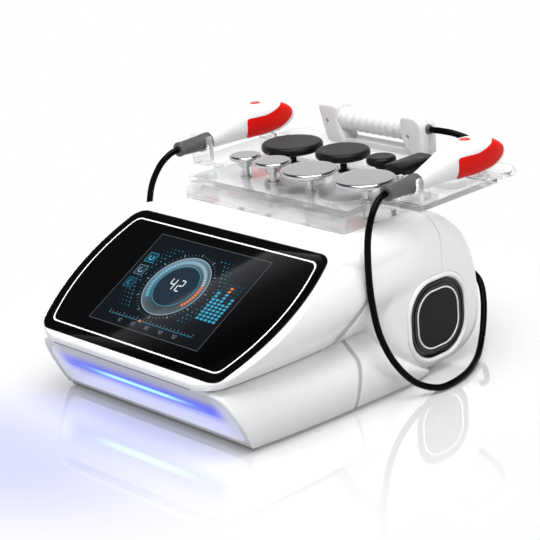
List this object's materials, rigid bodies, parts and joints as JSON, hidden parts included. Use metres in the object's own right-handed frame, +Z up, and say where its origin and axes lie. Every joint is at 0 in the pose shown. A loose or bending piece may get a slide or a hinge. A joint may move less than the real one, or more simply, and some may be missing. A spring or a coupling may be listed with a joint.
{
  "type": "diathermy machine",
  "caption": "Desktop diathermy machine with a sloping screen, lit base, clear tray, handpieces, bar grip and electrodes.",
  "frame": {"origin": "on the table, under the middle of the machine's base", "axes": "+Z up, front with the screen towards -Y, +X to the right seen from the front"},
  "size_m": [0.3693, 0.4251, 0.2276],
  "materials": {
    "white_shell": "gloss",
    "white_part": "gloss",
    "glass_black": "gloss",
    "white_line": "gloss",
    "display": "gloss",
    "light_face": "satin",
    "led_blue": "gloss",
    "dark_cover": "matt",
    "rubber_black": "matt",
    "gloss_black": "gloss",
    "matt_black": "matt",
    "panel_grey": "matt",
    "switch_red": "gloss",
    "socket_metal": "polished",
    "fan_black": "matt",
    "board_green": "satin",
    "metal_case": "satin",
    "clear_acrylic": "gloss",
    "chrome_disc": "polished",
    "black_disc": "satin",
    "pad_red": "satin",
    "button_red": "gloss",
    "sleeve_grey": "satin",
    "cord_black": "satin"
  },
  "bodies": {
    "machine": {"base_shell": "white_shell", "bottom_cover": "dark_cover", "rubber_feet": "rubber_black", "light_panel": "light_face", "led_strip": "led_blue", "screen_housing": "white_shell", "screen_glass": "glass_black", "glass_line": "white_line", "lcd_module": "display", "middle_housing": "white_shell", "rear_cover": "white_shell", "side_lips": "white_part", "side_rings": "gloss_black", "side_lines": "white_line", "side_caps": "matt_black", "rear_panel": "panel_grey", "power_inlet": "matt_black", "cord_sockets": "socket_metal", "fan_frame": "fan_black", "fan_guard": "socket_metal", "main_board": "board_green", "rf_module": "metal_case", "power_supply": "metal_case", "tray_block": "clear_acrylic", "tray_plate": "clear_acrylic", "front_holders": "clear_acrylic", "rear_holders": "clear_acrylic", "left_cord": "cord_black", "right_cord": "cord_black", "grip_cord": "cord_black", "cord_plugs": "rubber_black"},
    "switch": {"power_switch": "switch_red"},
    "fan": {"fan_rotor": "fan_black"},
    "disc_chrome_small": {"chrome_electrode_small": "chrome_disc"},
    "disc_chrome_medium": {"chrome_electrode_medium": "chrome_disc"},
    "disc_chrome_large": {"chrome_electrode_large": "chrome_disc"},
    "disc_chrome_wide": {"chrome_electrode_wide": "chrome_disc"},
    "disc_black_wide": {"black_electrode_wide": "black_disc"},
    "disc_black_large": {"black_electrode_large": "black_disc"},
    "disc_black_small": {"black_electrode_small": "black_disc"},
    "disc_black_square": {"black_electrode_square": "black_disc"},
    "left_handpiece": {"left_shell": "white_part", "left_pads": "pad_red", "left_window": "matt_black", "left_socket": "socket_metal", "left_sleeve": "sleeve_grey"},
    "left_trigger": {"left_button": "button_red"},
    "right_handpiece": {"right_shell": "white_part", "right_pads": "pad_red", "right_window": "matt_black", "right_socket": "socket_metal", "right_sleeve": "sleeve_grey"},
    "right_trigger": {"right_button": "button_red"},
    "bar_grip": {"grip_front_half": "white_part", "grip_rear_half": "white_part", "grip_screws": "socket_metal", "grip_plate": "dark_cover", "grip_gland": "rubber_black"}
  },
  "joints": [
    {"name": "switch_rock", "type": "hinge", "parent": "machine", "child": "switch", "pos_m": [0.05, 0.1345, 0.096], "axis": [1, 0, 0], "range_deg": [-9, 9]},
    {"name": "fan_spin", "type": "hinge", "parent": "machine", "child": "fan", "pos_m": [-0.042, 0.12, 0.082], "axis": [0, 1, 0], "continuous": true},
    {"name": "pull_chrome_small", "type": "slide", "parent": "machine", "child": "disc_chrome_small", "axis": [0, 0, 1], "range_m": [0, 0.02]},
    {"name": "pull_chrome_medium", "type": "slide", "parent": "machine", "child": "disc_chrome_medium", "axis": [0, 0, 1], "range_m": [0, 0.02]},
    {"name": "pull_chrome_large", "type": "slide", "parent": "machine", "child": "disc_chrome_large", "axis": [0, 0, 1], "range_m": [0, 0.02]},
    {"name": "pull_chrome_wide", "type": "slide", "parent": "machine", "child": "disc_chrome_wide", "axis": [0, 0, 1], "range_m": [0, 0.02]},
    {"name": "pull_black_wide", "type": "slide", "parent": "machine", "child": "disc_black_wide", "axis": [0, 0, 1], "range_m": [0, 0.02]},
    {"name": "pull_black_large", "type": "slide", "parent": "machine", "child": "disc_black_large", "axis": [0, 0, 1], "range_m": [0, 0.02]},
    {"name": "pull_black_small", "type": "slide", "parent": "machine", "child": "disc_black_small", "axis": [0, 0, 1], "range_m": [0, 0.02]},
    {"name": "pull_black_square", "type": "slide", "parent": "machine", "child": "disc_black_square", "axis": [0, 0, 1], "range_m": [0, 0.02]},
    {"name": "lift_left", "type": "slide", "parent": "machine", "child": "left_handpiece", "axis": [0, 0, 1], "range_m": [0, 0.04]},
    {"name": "lift_right", "type": "slide", "parent": "machine", "child": "right_handpiece", "axis": [0, 0, 1], "range_m": [0, 0.04]},
    {"name": "press_left", "type": "slide", "parent": "left_handpiece", "child": "left_trigger", "axis": [0, 0, -1], "range_m": [0, 0.0012], "stiffness_N_per_m": 400, "springref_m": -0.0005},
    {"name": "press_right", "type": "slide", "parent": "right_handpiece", "child": "right_trigger", "axis": [0, 0, -1], "range_m": [0, 0.0012], "stiffness_N_per_m": 400, "springref_m": -0.0005},
    {"name": "lift_grip", "type": "slide", "parent": "machine", "child": "bar_grip", "axis": [0, 0, 1], "range_m": [0, 0.04]}
  ]
}
